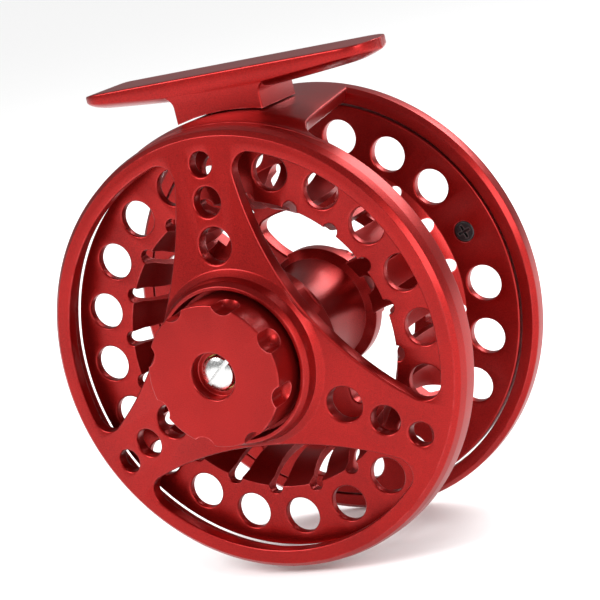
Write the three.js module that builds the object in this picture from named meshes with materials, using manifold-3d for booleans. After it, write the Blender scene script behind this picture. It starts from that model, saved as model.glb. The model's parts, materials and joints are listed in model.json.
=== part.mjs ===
// A large-arbor fly reel as an assembly of separate pieces, in millimetres, +Z up.
//
// The reel axis lies along Y: the drag knob is at the back (-Y) and the handle at the front (+Y).
// The origin is the middle of the reel foot's flat top, the face that lies against the rod seat.
// All pieces sit in one group whose own origin is the reel axis at the back ring's rear face.

import * as THREE from 'three';
import { mergeVertices } from 'three/addons/utils/BufferGeometryUtils.js';
import Module from 'manifold-3d';

const wasm = await Module();
wasm.setup();

// ---------------------------------------------------------------- driving dimensions

// Clearances between neighbours
const seatGap = 0.3; // faces that rest on each other
const runGap = 0.3; // radial gap of a turning fit
const ringSegments = 40; // sides of the large turned rings
const rimGap = 0.35; // spool rim to frame ring
const fitGap = 0.1; // radial gap of pressed and screwed fits

// Frame
const frameRadius = 44; // outer radius of the bridge and the front ring
const frameDepth = 39; // back ring's rear face to front ring's front face
const backRingDepth = 5.7;
const backRingFaceRadius = frameRadius - 2.3; // outer edge of the rear face
const windowRadius = frameRadius - 5; // outer arc of the three windows
const frontRingWall = 3.1;
const lipWidth = 1.4; // radial width of the back ring's inner lip
const windowArcRadius = 68; // concave side that two neighbouring arms share
const windowCorner = 3.4;
const lipDepth = 2.6; // axial depth of the ring's inner lip
const armThickness = 3.2;
const armHubOffset = 4.9; // how far the dished arms stand out at the axis
const armSlope = 0.12; // fall of the dish per millimetre of radius
const frontRingWidth = 3.8; // axial width of the front ring
const bridgeThickness = 2.7;
const bridgeHalfWidthBack = 18.8;
const bridgeHalfWidthFront = 14.4;

// Frame hub, sized round the drag knob
const knobRadius = 13.5;
const knobRoom = 0.9; // radial gap round the knob
const recessRadius = knobRadius + knobRoom; // recess that the drag knob turns in
const bossLipRadius = recessRadius + 0.7;
const bossRadius = recessRadius + 1.8;
const bossHeight = 7; // rear lip of the boss, behind the back ring's face
const webBack = -3.2; // the hub's web lies between these two faces
const webFront = 0;
const cupRadius = bossRadius + 0.8; // cup on the web's front side, which holds the drag
const cupWall = 1.6;
const cupBore = cupRadius - cupWall;
const cupDepth = 4.2;
const windowInset = bossRadius + 1; // the windows' nearest approach to the axis
// Three holes in each arm: radius from the axis, hole radius
const armHoles = [[bossRadius + 5.5, 3.4], [windowRadius - 9.2, 2.8], [windowRadius - 2.2, 2.3]];

// Foot
const footLength = 64;
const footWidth = 14;
const footTop = frameRadius + 7.7; // height of the foot's top above the reel axis
const footMidY = frameDepth / 2 - 0.5; // where the foot lies along the axis
const footEdgeStem = 3.2; // edge height beside the stem
const footEdgeTip = 1.4; // edge height at the tips
const footKeel = 1.7; // how far the underside bulges below its edges
const stemHalfLength = 9.5;
const footScrewSpacing = 10;

// Spool
const spoolBack = 5.4; // rear face of the back flange
const backFlange = 1.8; // flange thicknesses
const frontFlange = 2.1;
const spoolFront = frameDepth - 2; // front face of the front flange
const frontRim = 1.6; // how far the front rim stands proud of the flange
const frontRimRadius = frameRadius - frontRingWall - rimGap;
const backFlangeRadius = windowRadius + lipWidth - rimGap;
const flangeHoleCircle = frontRimRadius - 6.5;
const flangeHoleRadius = 3.5;
const holeCount = 20;
const slotWidth = 2.9;
const drumEnd = 29.6; // drum radius at the flanges
const drumMiddle = 25.5; // drum radius at mid width
const drumWall = 1.5;
const slotInner = drumMiddle - drumWall - 0.6; // the slots run from here to the drum's full radius
const webRingInner = slotInner - 2.8; // ring that ties the spool's front arms together
const spoolArmThickness = 3.4;
const webBackFace = spoolFront - 7; // rear face of the spool's three arms
const spoolWindowInset = 9;
const spoolWindowArc = 16;
const spoolArmHoles = [[12, 1.5], [16.2, 1.8]];

// Drag
const dragRadius = cupBore - 4.4; // leaves room for the click pawl beside the rotor
const corkBack = webFront + 0.1;
const corkThickness = 1.4;
const discBack = corkBack + corkThickness + 0.2;
const dragDiscThickness = 1.2;
const discFront = discBack + dragDiscThickness;
const rotorSleeveRadius = 5;
const clickTeeth = 28;
const clickToothDepth = 0.8;
const pawlPivotRadius = cupBore - 2;
const pawlAngle = 55;
const pawlThickness = 1.2;
const pawlClearance = 0.3; // between the pawl's nose and the rotor's teeth

// Spindle and what turns on it
const spindleRadius = 3;
const spindleBack = -9.4;
const clutchOuter = 7.6;
const clutchLength = 8.2;
const clutchBack = discFront + 1;
const clutchShoulder = clutchBack + clutchLength + fitGap;
const collarRadius = 4.6;
const collarBack = clutchShoulder + 0.9;
const collarFront = collarBack + 1.3;
const noseRadius = 2.5; // spindle ahead of its collar, where the bearings sit
const bearingOuter = 6.5;
const bearingWidth = 4;
const rearBearingBack = collarFront + seatGap;
const frontBearingBack = spoolFront - 7;
const spindleFront = frontBearingBack + bearingWidth + 5.8;
const spoolHubRadius = clutchOuter + 1.6;
const spoolHubNeck = Math.max(spoolHubRadius, bearingOuter) + 0.4;

// Knob
const knobBack = -13.7;
const knobFront = -3.6;
const knobScallops = 8;
const knobBore = 4.5;
const scoopRadius = 3.6;
const scoopDepth = 1.3;
const scoopLength = 4;
const springWell = 8;
const discSpringRadius = 7.4;
const nutRadius = 5.6;
const nutBack = -10.2;
const nutFront = -6.3;
const boltHeadRadius = 3.3;

// Handle, counterweight and spool cap
const weightAngle = 18; // the counterweight stands over one of the spool's arms
const handleAngle = weightAngle + 180;
const handleLength = 21;
const postRadius = 2;
const screwShank = 1.1;
const screwHead = 2;
const screwHeadHeight = 1.1;
const endScrewHead = postRadius + 1;
const capRadius = 9.9;
const capLength = 4.4;
const counterweightRadius = 4.3;
const counterweightLength = 3.6;

// ---------------------------------------------------------------- finishes

const finish = (color, metalness, roughness) =>
  new THREE.MeshStandardMaterial({ color, metalness, roughness });
const redAnodised = () => finish(0xc02024, 0.7, 0.38);
const steel = () => finish(0xb8bcc0, 1, 0.3);
const darkSteel = () => finish(0x3a3a3c, 1, 0.4);
const brass = () => finish(0xb5954a, 1, 0.35);
const cork = () => finish(0xb88a5a, 0, 0.9);
const rubber = () => finish(0x1c1c1c, 0, 0.85);
const blackPolymer = () => finish(0x202022, 0, 0.5);

// ---------------------------------------------------------------- shape helpers

const radians = THREE.MathUtils.degToRad;

// A closed three.js geometry as a manifold solid
function solid(geometry) {
  const bare = geometry.clone();
  bare.deleteAttribute('normal');
  bare.deleteAttribute('uv');
  const merged = mergeVertices(bare, 1e-4);
  return new wasm.Manifold(new wasm.Mesh({
    numProp: 3,
    vertProperties: Float32Array.from(merged.attributes.position.array),
    triVerts: Uint32Array.from(merged.index.array),
  }));
}

// A manifold solid as a three.js geometry
function geometryOf(body) {
  const mesh = body.getMesh();
  const geometry = new THREE.BufferGeometry();
  geometry.setAttribute('position', new THREE.BufferAttribute(mesh.vertProperties, 3));
  geometry.setIndex(new THREE.BufferAttribute(mesh.triVerts, 1));
  geometry.computeVertexNormals();
  return geometry;
}

// A solid turned about the reel axis from [radius, y] corners; it closes on itself,
// or on the axis where its first and last corners have radius 0
function turned(corners, segments = 32) {
  const points = corners.map(([radius, y]) => new THREE.Vector2(radius, y));
  const onAxis = corners[0][0] === 0 && corners[corners.length - 1][0] === 0;
  if (!onAxis) points.push(points[0].clone());
  const body = solid(new THREE.LatheGeometry(points, segments));
  return body.volume() < 0 ? solid(flipped(new THREE.LatheGeometry(points, segments))) : body;
}

// The same geometry with its faces turned round
function flipped(geometry) {
  const index = geometry.index.array;
  for (let i = 0; i < index.length; i += 3) [index[i], index[i + 1]] = [index[i + 1], index[i]];
  return geometry;
}

// A plain ring or disc between two radii and two places along the axis
const ring = (inner, outer, back, front, segments = 32) => turned(inner > 0
  ? [[inner, back], [outer, back], [outer, front], [inner, front]]
  : [[0, back], [outer, back], [outer, front], [0, front]], segments);

// A flat outline in X and Z, made into a plate between two places along the reel axis
function plate(shape, back, front) {
  const geometry = new THREE.ExtrudeGeometry(shape, { depth: front - back, bevelEnabled: false });
  geometry.rotateX(Math.PI / 2);
  geometry.translate(0, front, 0);
  return solid(geometry);
}

// A round hole or pin along the reel axis, centred at a radius and an angle
function pinAt(radius, angle, pinRadius, back, front, segments = 16) {
  const x = radius * Math.cos(radians(angle));
  const z = radius * Math.sin(radians(angle));
  return ring(0, pinRadius, back, front, segments).translate([x, 0, z]);
}

// Turn a solid about the reel axis, from +X towards +Z
const aroundAxis = (body, angle) => body.rotate([0, -angle, 0]);

const join = (first, ...rest) => rest.reduce((sum, body) => sum.add(body), first);
const cut = (first, ...rest) => rest.reduce((left, body) => left.subtract(body), first);

// Points of an arc, from one angle to another
function arc(centreU, radius, from, to, steps, centreV = 0) {
  return Array.from({ length: steps + 1 }, (_, i) => {
    const angle = from + ((to - from) * i) / steps;
    return new THREE.Vector2(centreU + radius * Math.cos(angle), centreV + radius * Math.sin(angle));
  });
}

// A window between two arms: the area inside the rim radius and inside a large circle whose
// near side bows towards the axis, with rounded corners; it faces +X
function windowShape(rim, inset, arcRadius, corner) {
  const centre = inset + arcRadius;
  // Centre of the corner arc: inside both circles by the corner's radius
  const rimR = rim - corner;
  const arcR = arcRadius - corner;
  const u = (rimR * rimR - arcR * arcR + centre * centre) / (2 * centre);
  const v = Math.sqrt(rimR * rimR - u * u);
  const rimAngle = Math.atan2(v, u);
  const sideAngle = Math.atan2(v, u - centre);
  const turn = 2 * Math.PI;
  return new THREE.Shape([
    ...arc(0, rim, -rimAngle, rimAngle, 12),
    ...arc(u, corner, rimAngle, sideAngle, 3, v).slice(1),
    ...arc(centre, arcRadius, sideAngle, turn - sideAngle, 10).slice(1),
    ...arc(u, corner, turn - sideAngle, turn - rimAngle, 3, -v).slice(1, -1),
  ]);
}

const reel = new THREE.Group();
reel.position.set(0, -footMidY, -footTop);

function piece(name, body, material, place = [0, 0, 0]) {
  const mesh = new THREE.Mesh(geometryOf(body), material);
  mesh.name = name;
  mesh.position.set(...place);
  reel.add(mesh);
  return mesh;
}

// ---------------------------------------------------------------- frame

// The dish of the arms: its rear face falls from the hub to the ring
const dishBack = (radius) => -armHubOffset + armSlope * radius;

function frameBody() {
  const boreRadius = frameRadius - frontRingWall;
  const ringBore = windowRadius + lipWidth;
  const spindleBore = spindleRadius + fitGap;
  const backPlate = turned([
    [spindleBore, webBack], [recessRadius, webBack], [recessRadius, -bossHeight],
    [bossLipRadius, -bossHeight], [bossLipRadius + 0.8, -bossHeight + 0.9],
    [bossRadius, -bossHeight + 3], [cupRadius + 0.6, dishBack(cupRadius)],
    [windowRadius + 0.7, 0], [backRingFaceRadius, 0], [backRingFaceRadius + 0.9, 0.9],
    [backRingFaceRadius + 1.35, 2.6], [backRingFaceRadius + 1.6, backRingDepth],
    [ringBore, backRingDepth], [ringBore, lipDepth], [windowRadius, lipDepth],
    [cupRadius, dishBack(cupRadius) + armThickness], [cupRadius, cupDepth],
    [cupBore, cupDepth], [cupBore, webFront], [spindleBore, webFront],
  ], ringSegments);
  const frontRingBack = frameDepth - frontRingWidth;
  const bridgeArc = turned([
    [frameRadius - bridgeThickness, lipDepth], [backRingFaceRadius + 1.3, lipDepth],
    [backRingFaceRadius + 1.7, backRingDepth], [frameRadius, 10], [frameRadius, frontRingBack + 1],
    [frameRadius - bridgeThickness, frontRingBack + 1],
  ], ringSegments);
  const bridgeOutline = new THREE.Shape([
    new THREE.Vector2(-bridgeHalfWidthBack, lipDepth), new THREE.Vector2(bridgeHalfWidthBack, lipDepth),
    new THREE.Vector2(bridgeHalfWidthFront, frontRingBack + 1),
    new THREE.Vector2(-bridgeHalfWidthFront, frontRingBack + 1),
  ]);
  const bridgeBlock = solid(new THREE.ExtrudeGeometry(bridgeOutline, { depth: 20, bevelEnabled: false }))
    .translate([0, 0, frameRadius - 14]);
  const frontRing = turned([
    [boreRadius, frontRingBack], [frameRadius - 0.9, frontRingBack], [frameRadius, frontRingBack + 0.9],
    [frameRadius, frameDepth - 0.6], [frameRadius - 0.6, frameDepth], [boreRadius, frameDepth],
  ], ringSegments);

  let body = backPlate;
  for (const middle of [30, 150, 270]) {
    const opening = plate(windowShape(windowRadius, windowInset, windowArcRadius, windowCorner), -8, lipDepth + 1);
    body = body.subtract(aroundAxis(opening, middle));
  }
  body = join(body, bridgeArc.intersect(bridgeBlock), frontRing);

  for (const angle of [90, 210, 330]) {
    for (const [radius, hole] of armHoles) {
      body = body.subtract(pinAt(radius, angle, hole, dishBack(radius) - 1, lipDepth + 1, 10));
    }
  }
  const sealGroove = ring(0, sealOuter + fitGap, sealBack - 0.2, sealBack + sealThickness + 0.2, 28);
  const detentPocket = pinAt(detentRadius, detentAngle, detentBall + 0.2, webBack - 1, webBack + detentDepth, 16);
  const pawlPinHole = pinAt(pawlPivotRadius, pawlAngle, pawlPinRadius + fitGap, webFront - pawlPinSeat, webFront + 1, 12);
  body = cut(body, sealGroove, detentPocket, pawlPinHole);
  for (const side of [-1, 1]) {
    body = cut(body, footScrewSolid(side, 0.25));
  }
  return body;
}

// ---------------------------------------------------------------- seal, detent and pawl pin sizes

const sealOuter = spindleRadius + 1.1;
const sealThickness = 1.1;
const sealBack = -2.2;
const detentRadius = (springWell + knobRadius) / 2 + 0.65;
const detentAngle = -35;
const detentBall = 1;
const detentDepth = 2.5;
const pawlPinRadius = 0.8;
const pawlPinSeat = 1.4;

// ---------------------------------------------------------------- foot and its screws

const footScrewShank = 1.3;
const footScrewHeadRadius = 2.3;
const footScrewHeadHeight = 1.4;
const footScrewReach = 6;

// A countersunk screw from inside the bridge up into the foot's stem
function footScrewSolid(side, clearance) {
  const headLow = frameRadius - bridgeThickness - 0.2;
  const body = new THREE.LatheGeometry([
    [0, 0], [footScrewHeadRadius + clearance, 0], [footScrewHeadRadius + clearance, 0.4],
    [footScrewShank + clearance, footScrewHeadHeight + clearance],
    [footScrewShank + clearance, footScrewReach + clearance], [0, footScrewReach + clearance],
  ].map(([radius, height]) => new THREE.Vector2(radius, height)), 20);
  body.rotateX(Math.PI / 2);
  const made = solid(body);
  const upright = made.volume() < 0 ? solid(flipped(body)) : made;
  const low = clearance > 0 ? -1 : 0;
  const well = clearance > 0
    ? solid(new THREE.CylinderGeometry(footScrewHeadRadius + clearance, footScrewHeadRadius + clearance, 1.02, 20)
      .rotateX(Math.PI / 2)).translate([0, 0, low / 2])
    : null;
  const whole = well ? upright.add(well) : upright;
  return whole.translate([side * footScrewSpacing / 2, footMidY, headLow]);
}

function screwCross(head, depth) {
  const blade = new THREE.BoxGeometry(head * 1.3, depth, head * 0.28);
  return solid(blade).add(solid(blade.clone().rotateY(Math.PI / 2)));
}

function footBody() {
  const half = footLength / 2;
  const round = footWidth / 2 - 1;
  const plan = new THREE.Shape();
  const w = footWidth / 2;
  plan.moveTo(-half + round, -w);
  plan.lineTo(half - round, -w);
  plan.absellipse(half - round, 0, round, w, -Math.PI / 2, Math.PI / 2, false);
  plan.lineTo(-half + round, w);
  plan.absellipse(-half + round, 0, round, w, Math.PI / 2, 3 * Math.PI / 2, false);
  const slab = solid(new THREE.ExtrudeGeometry(plan, { depth: 8, bevelEnabled: false, curveSegments: 10 }))
    .translate([0, footMidY, footTop - 8]);
  // Side profile in X and Z: the blades thin towards their tips
  const profile = (drop) => {
    const side = new THREE.Shape([
      new THREE.Vector2(-half - 1, footTop - footEdgeTip - drop), new THREE.Vector2(-stemHalfLength, footTop - footEdgeStem - drop),
      new THREE.Vector2(stemHalfLength, footTop - footEdgeStem - drop), new THREE.Vector2(half + 1, footTop - footEdgeTip - drop),
      new THREE.Vector2(half + 1, footTop), new THREE.Vector2(half - 4, footTop),
      new THREE.Vector2(-half + 5, footTop), new THREE.Vector2(-half - 1, footTop - 0.9),
    ]);
    return side;
  };
  // The underside bulges downwards between the two long edges
  let blade = null;
  const strips = 6;
  for (let i = 0; i < strips; i += 1) {
    const near = -w + (i * footWidth) / strips;
    const far = near + footWidth / strips;
    const strip = solid(bulgedStrip(profile, near, far, w));
    blade = blade ? blade.add(strip) : strip;
  }
  blade = blade.intersect(slab);
  const stemBlock = solid(new THREE.BoxGeometry(2 * stemHalfLength, footWidth, 12))
    .translate([0, footMidY, footTop - 6 - 2]);
  const seat = ring(0, frameRadius + seatGap, -5, frameDepth + 5, ringSegments);
  const stem = stemBlock.subtract(seat);
  let body = blade.add(stem);
  for (const side of [-1, 1]) body = body.subtract(footScrewSolid(side, 0.25));
  return body;
}

// One strip of the blade between two distances from its middle line
function bulgedStrip(profile, near, far, halfWidth) {
  const drop = (offset) => footKeel * (1 - (offset / halfWidth) ** 2);
  const nearLine = profile(drop(near)).getPoints();
  const farLine = profile(drop(far)).getPoints();
  const count = nearLine.length;
  const positions = [];
  for (const [line, y] of [[nearLine, near], [farLine, far]]) {
    for (const point of line) positions.push(point.x, y + footMidY, point.y);
  }
  const flat = THREE.ShapeUtils.triangulateShape(nearLine, []);
  const index = [];
  for (const [a, b, c] of flat) {
    index.push(a, b, c);
    index.push(count + c, count + b, count + a);
  }
  for (let i = 0; i < count; i += 1) {
    const next = (i + 1) % count;
    index.push(next, i, count + next);
    index.push(i, count + i, count + next);
  }
  const geometry = new THREE.BufferGeometry();
  geometry.setAttribute('position', new THREE.Float32BufferAttribute(positions, 3));
  geometry.setAttribute('normal', new THREE.Float32BufferAttribute(positions, 3));
  geometry.setAttribute('uv', new THREE.Float32BufferAttribute(new Array(count * 4).fill(0), 2));
  geometry.setIndex(index);
  return solid(geometry).volume() < 0 ? flipped(geometry) : geometry;
}

piece('frame', frameBody(), redAnodised());
piece('reel_foot', footBody(), redAnodised());
for (const [name, side] of [['foot_screw_left', -1], ['foot_screw_right', 1]]) {
  const cross = screwCross(footScrewHeadRadius, 1.4).rotate([90, 0, 0])
    .translate([side * footScrewSpacing / 2, footMidY, frameRadius - bridgeThickness - 0.2]);
  piece(name, footScrewSolid(side, 0).subtract(cross), darkSteel());
}

// ---------------------------------------------------------------- spool

const low = spoolBack + backFlange; // inner faces of the two flanges
const high = spoolFront - frontFlange;
const drumMid = (low + high) / 2;
const drumHalf = (high - low) / 2;
const drumRadius = (y) => drumMiddle + (drumEnd - drumMiddle) * Math.min(1, Math.abs((y - drumMid) / drumHalf)) ** 3;
const spoolHubBack = clutchBack - 0.5;
const spoolHubFront = frontBearingBack + bearingWidth + 2;
const hubBoreFront = bearingOuter + fitGap;

function spoolBody() {
  const steps = 4;
  const along = Array.from({ length: steps + 1 }, (_, i) => low + ((high - low) * i) / steps);
  const outer = along.map((y) => [drumRadius(y), y]);
  const inner = along.map((y) => [drumRadius(y) - drumWall, y]).reverse();
  const drum = turned([
    [drumEnd - drumWall, spoolBack], [backFlangeRadius - 0.5, spoolBack], [backFlangeRadius, spoolBack + 0.5],
    [backFlangeRadius, low], ...outer, [frontRimRadius, high], [frontRimRadius, spoolFront + frontRim],
    [frontRimRadius - 1.2, spoolFront + frontRim], [frontRimRadius - 1.8, spoolFront],
    [drumEnd - drumWall, spoolFront], ...inner,
  ], ringSegments);
  const webFrontFace = webBackFace + spoolArmThickness;
  let web = ring(hubBoreFront, drumRadius(webBackFace) - drumWall + 0.6, webBackFace, webFrontFace, ringSegments);
  for (const middle of [0, 120, 240]) {
    const opening = plate(windowShape(webRingInner, spoolWindowInset, spoolWindowArc, 2), webBackFace - 1, webFrontFace + 1);
    web = web.subtract(aroundAxis(opening, weightAngle + 60 + middle));
    for (const [radius, hole] of spoolArmHoles) {
      web = web.subtract(pinAt(radius, weightAngle + middle, hole, webBackFace - 1, webFrontFace + 1, 10));
    }
  }
  const hub = turned([
    [clutchOuter + fitGap, spoolHubBack], [spoolHubRadius, spoolHubBack], [spoolHubRadius, webBackFace - 7],
    [spoolHubNeck, webBackFace], [spoolHubNeck, webFrontFace], [hubBoreFront + 1.8, webFrontFace + 1.6],
    [hubBoreFront + 1.8, spoolHubFront], [hubBoreFront, spoolHubFront], [hubBoreFront, rearBearingBack - seatGap],
    [collarRadius + 1, rearBearingBack - seatGap], [collarRadius + 1, clutchShoulder],
    [clutchOuter + fitGap, clutchShoulder],
  ], 28);
  let body = join(drum, web, hub);

  const slotRound = slotWidth / 2;
  const slot = plate(new THREE.Shape([
    new THREE.Vector2(slotInner, -slotRound),
    ...arc(drumEnd - slotRound, slotRound, -Math.PI / 2, Math.PI / 2, 2),
    new THREE.Vector2(slotInner, slotRound),
  ]), spoolBack - 1, spoolFront + 1);
  const pitch = 360 / holeCount;
  for (let i = 0; i < holeCount; i += 1) {
    const angle = handleAngle + i * pitch;
    body = body.subtract(aroundAxis(slot, angle + pitch / 2));
    body = body.subtract(pinAt(flangeHoleCircle, angle, flangeHoleRadius, spoolBack - 1, low + 1, 10));
    if (i % (holeCount / 2) !== 0) {
      body = body.subtract(pinAt(flangeHoleCircle, angle, flangeHoleRadius, high - 1, spoolFront + 1, 10));
    }
  }
  for (const angle of [handleAngle, weightAngle]) {
    body = body.subtract(pinAt(flangeHoleCircle, angle, screwShank + fitGap, high - 1, spoolFront + 1, 12));
    body = body.subtract(pinAt(flangeHoleCircle, angle, screwHead + fitGap, high - 1, high + screwHeadHeight + fitGap, 16));
  }
  return body;
}

piece('spool', spoolBody(), redAnodised());

// Where the pieces fixed to the front flange stand
const flangePlace = (angle) => [
  flangeHoleCircle * Math.cos(radians(angle)), 0, flangeHoleCircle * Math.sin(radians(angle)),
];

// A cross-recess screw driven from inside the front flange
function flangeScrew(reach) {
  const back = spoolFront - frontFlange;
  const body = turned([
    [0, back], [screwHead, back], [screwHead, back + screwHeadHeight], [screwShank, back + screwHeadHeight],
    [screwShank, reach], [0, reach],
  ], 20);
  return body.subtract(screwCross(screwHead, 1.2).translate([0, back, 0]));
}

// ---------------------------------------------------------------- handle

const handleScrewReach = spoolFront + 7;
const postFoot = spoolFront + seatGap;
const knobStart = postFoot + 1.6 + seatGap;
const knobEnd = knobStart + handleLength;
const postEnd = knobEnd - 3;

piece('handle_post', turned([
  [screwShank + fitGap, postFoot], [4, postFoot], [4, postFoot + 1.2], [postRadius, postFoot + 1.6],
  [postRadius, postEnd], [screwShank + fitGap, postEnd], [screwShank + fitGap, postEnd - 7.5], [0, postEnd - 7.5],
  [0, handleScrewReach + 0.5], [screwShank + fitGap, handleScrewReach + 0.5],
], 28), steel(), flangePlace(handleAngle));
piece('handle_screw', flangeScrew(handleScrewReach), darkSteel(), flangePlace(handleAngle));
piece('handle_bush', ring(postRadius + 0.15, postRadius + 1, knobStart + 0.5, knobEnd - 3.4, 28), brass(),
  flangePlace(handleAngle));
const bushRadius = postRadius + 1 + fitGap;
piece('handle_knob', turned([
  [bushRadius, knobStart], [5.2, knobStart], [5.5, knobStart + 0.8], [4.7, knobStart + 4], [4.5, knobStart + 7],
  [5, knobStart + 12], [6, knobStart + 16.5], [6.1, knobStart + 18.5], [5.4, knobEnd - 0.8], [4.6, knobEnd],
  [endScrewHead + runGap, knobEnd], [endScrewHead + runGap, knobEnd - 2.8], [bushRadius, knobEnd - 2.8],
], 28), blackPolymer(), flangePlace(handleAngle));
piece('handle_end_screw', turned([
  [0, postEnd - 7], [screwShank, postEnd - 7], [screwShank, postEnd + seatGap], [endScrewHead, postEnd + seatGap],
  [endScrewHead, knobEnd - 1], [endScrewHead - 0.8, knobEnd - 0.4], [0, knobEnd - 0.4],
], 24).subtract(screwCross(endScrewHead, 1.4).translate([0, knobEnd - 0.4, 0])), darkSteel(),
flangePlace(handleAngle));

// ---------------------------------------------------------------- counterweight

const weightBack = spoolFront + seatGap;
piece('counterweight', turned([
  [screwShank + fitGap, weightBack], [counterweightRadius, weightBack],
  [counterweightRadius, weightBack + counterweightLength - 0.8],
  [counterweightRadius - 0.8, weightBack + counterweightLength], [0, weightBack + counterweightLength],
  [0, weightBack + 2.6], [screwShank + fitGap, weightBack + 2.6],
], 24), redAnodised(), flangePlace(weightAngle));
piece('counterweight_screw', flangeScrew(weightBack + 2.3), darkSteel(), flangePlace(weightAngle));

// ---------------------------------------------------------------- spindle and its fasteners

const boltBore = 1.3;
piece('spindle', turned([
  [boltBore + fitGap, spindleBack], [spindleRadius, spindleBack], [spindleRadius, collarBack],
  [collarRadius, collarBack], [collarRadius, collarFront], [noseRadius, collarFront],
  [noseRadius, spindleFront], [0, spindleFront], [0, spindleBack + 5.2], [boltBore + fitGap, spindleBack + 5.2],
], 24), steel());
const boltHead = nutBack - seatGap;
piece('spindle_screw', turned([
  [0, spindleBack + 4.8], [boltBore, spindleBack + 4.8], [boltBore, boltHead], [boltHeadRadius, boltHead],
  [boltHeadRadius, boltHead - 1], [boltHeadRadius - 0.7, boltHead - 1.5], [0, boltHead - 1.7],
].reverse(), 28).subtract(solid(new THREE.BoxGeometry(boltHeadRadius * 2.4, 1.6, 0.9))
  .rotate([0, -35, 0]).translate([0, boltHead - 1.8, 0])), steel());
piece('spindle_seal', turned(arc(0, 1, 0, 2 * Math.PI, 8).slice(0, -1).map((point) => [
  (sealOuter + spindleRadius + 0.05) / 2 + point.x * (sealOuter - spindleRadius - 0.05) / 2,
  sealBack + sealThickness / 2 + point.y * sealThickness / 2,
]), 24), rubber());

// ---------------------------------------------------------------- drag knob, nut and its springs

function scoop() {
  const middle = knobRadius + scoopRadius - scoopDepth;
  return pinAt(middle, 0, scoopRadius, knobBack - 1, knobBack + scoopLength, 12)
    .add(solid(new THREE.SphereGeometry(scoopRadius, 12, 6)).translate([middle, knobBack + scoopLength, 0]));
}

function knobBody() {
  let body = turned([
    [knobBore, knobBack], [knobRadius - 0.8, knobBack], [knobRadius, knobBack + 0.8], [knobRadius, knobFront],
    [springWell, knobFront], [springWell, nutFront + seatGap], [nutRadius - 1.8, nutFront + seatGap],
    [nutRadius - 1.8, nutBack - fitGap], [knobBore, nutBack - fitGap],
  ], 36);
  body = body.subtract(ring(0, nutRadius + fitGap, nutBack - fitGap, nutFront + 1, 6));
  for (let i = 0; i < knobScallops; i += 1) {
    body = body.subtract(aroundAxis(scoop(), (360 * (i + 0.5)) / knobScallops));
  }
  return body;
}

piece('drag_knob', knobBody(), redAnodised());
piece('knob_nut', ring(0, nutRadius, nutBack, nutFront, 6)
  .subtract(ring(0, spindleRadius + 0.15, nutBack - 1, nutFront + 1, 32)), brass());
// Two disc springs, rim to rim: each is a shallow cone with its rim towards the other
const discSpringRim = -4.6;
const discSpringBore = spindleRadius + runGap;
const discSpring = (towards) => turned([
  [discSpringBore, discSpringRim + towards * 1.35], [discSpringRadius, discSpringRim + towards * 0.65],
  [discSpringRadius, discSpringRim + towards * 0.15], [discSpringBore, discSpringRim + towards * 0.85],
], 36);
piece('disc_spring_rear', discSpring(-1), steel());
piece('disc_spring_front', discSpring(1), steel());
piece('detent_ball', solid(new THREE.SphereGeometry(detentBall, 10, 7)).translate([0, webBack + 0.7, 0]), steel(),
  [detentRadius * Math.cos(radians(detentAngle)), 0, detentRadius * Math.sin(radians(detentAngle))]);
piece('detent_spring', ring(detentBall - 0.45, detentBall - 0.05, webBack + 1.75, webBack + detentDepth - 0.05, 16),
  steel(), [detentRadius * Math.cos(radians(detentAngle)), 0, detentRadius * Math.sin(radians(detentAngle))]);

// ---------------------------------------------------------------- drag stack

piece('drag_washer', ring(6, dragRadius - 0.4, corkBack, corkBack + corkThickness), cork());

function rotorBody() {
  const root = dragRadius - clickToothDepth;
  const points = [];
  for (let i = 0; i < clickTeeth; i += 1) {
    // A gap faces the pawl: teeth stand half a pitch to each side of it
    const middle = radians(pawlAngle) + ((i + 0.5) * 2 * Math.PI) / clickTeeth;
    for (const [share, radius] of [[-0.32, root], [-0.12, dragRadius], [0.12, dragRadius], [0.32, root]]) {
      const angle = middle + (share * 2 * Math.PI) / clickTeeth;
      points.push(new THREE.Vector2(radius * Math.cos(angle), radius * Math.sin(angle)));
    }
  }
  const disc = plate(new THREE.Shape(points), discBack, discFront);
  return disc.add(ring(0, rotorSleeveRadius, discBack + 0.2, clutchShoulder, 28))
    .subtract(ring(0, spindleRadius + runGap, discBack - 1, clutchShoulder + 1, 32));
}

piece('drag_rotor', rotorBody(), steel());
piece('one_way_clutch', ring(rotorSleeveRadius + runGap, clutchOuter, clutchBack, clutchBack + clutchLength, 28),
  darkSteel());
piece('thrust_washer', ring(spindleRadius + 0.2, rotorSleeveRadius, clutchShoulder + 0.2, collarBack - 0.15, 32),
  brass());

// ---------------------------------------------------------------- click

const pawlPlace = [
  pawlPivotRadius * Math.cos(radians(pawlAngle)), 0, pawlPivotRadius * Math.sin(radians(pawlAngle)),
];
const pawlBack = discBack;
const pawlReach = pawlPivotRadius - dragRadius - pawlClearance;
const pawlEye = 1.5;

// The pawl's nose points at the axis from its pivot
function pawlBody() {
  const nose = plate(new THREE.Shape([
    new THREE.Vector2(0, -1.1), new THREE.Vector2(0, 1.1), new THREE.Vector2(-pawlReach, 0.25),
    new THREE.Vector2(-pawlReach, -0.25),
  ]), pawlBack, pawlBack + pawlThickness);
  return ring(0, pawlEye, pawlBack, pawlBack + pawlThickness, 24).add(nose)
    .subtract(ring(0, pawlPinRadius + 0.1, pawlBack - 1, pawlBack + pawlThickness + 1, 16));
}

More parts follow.
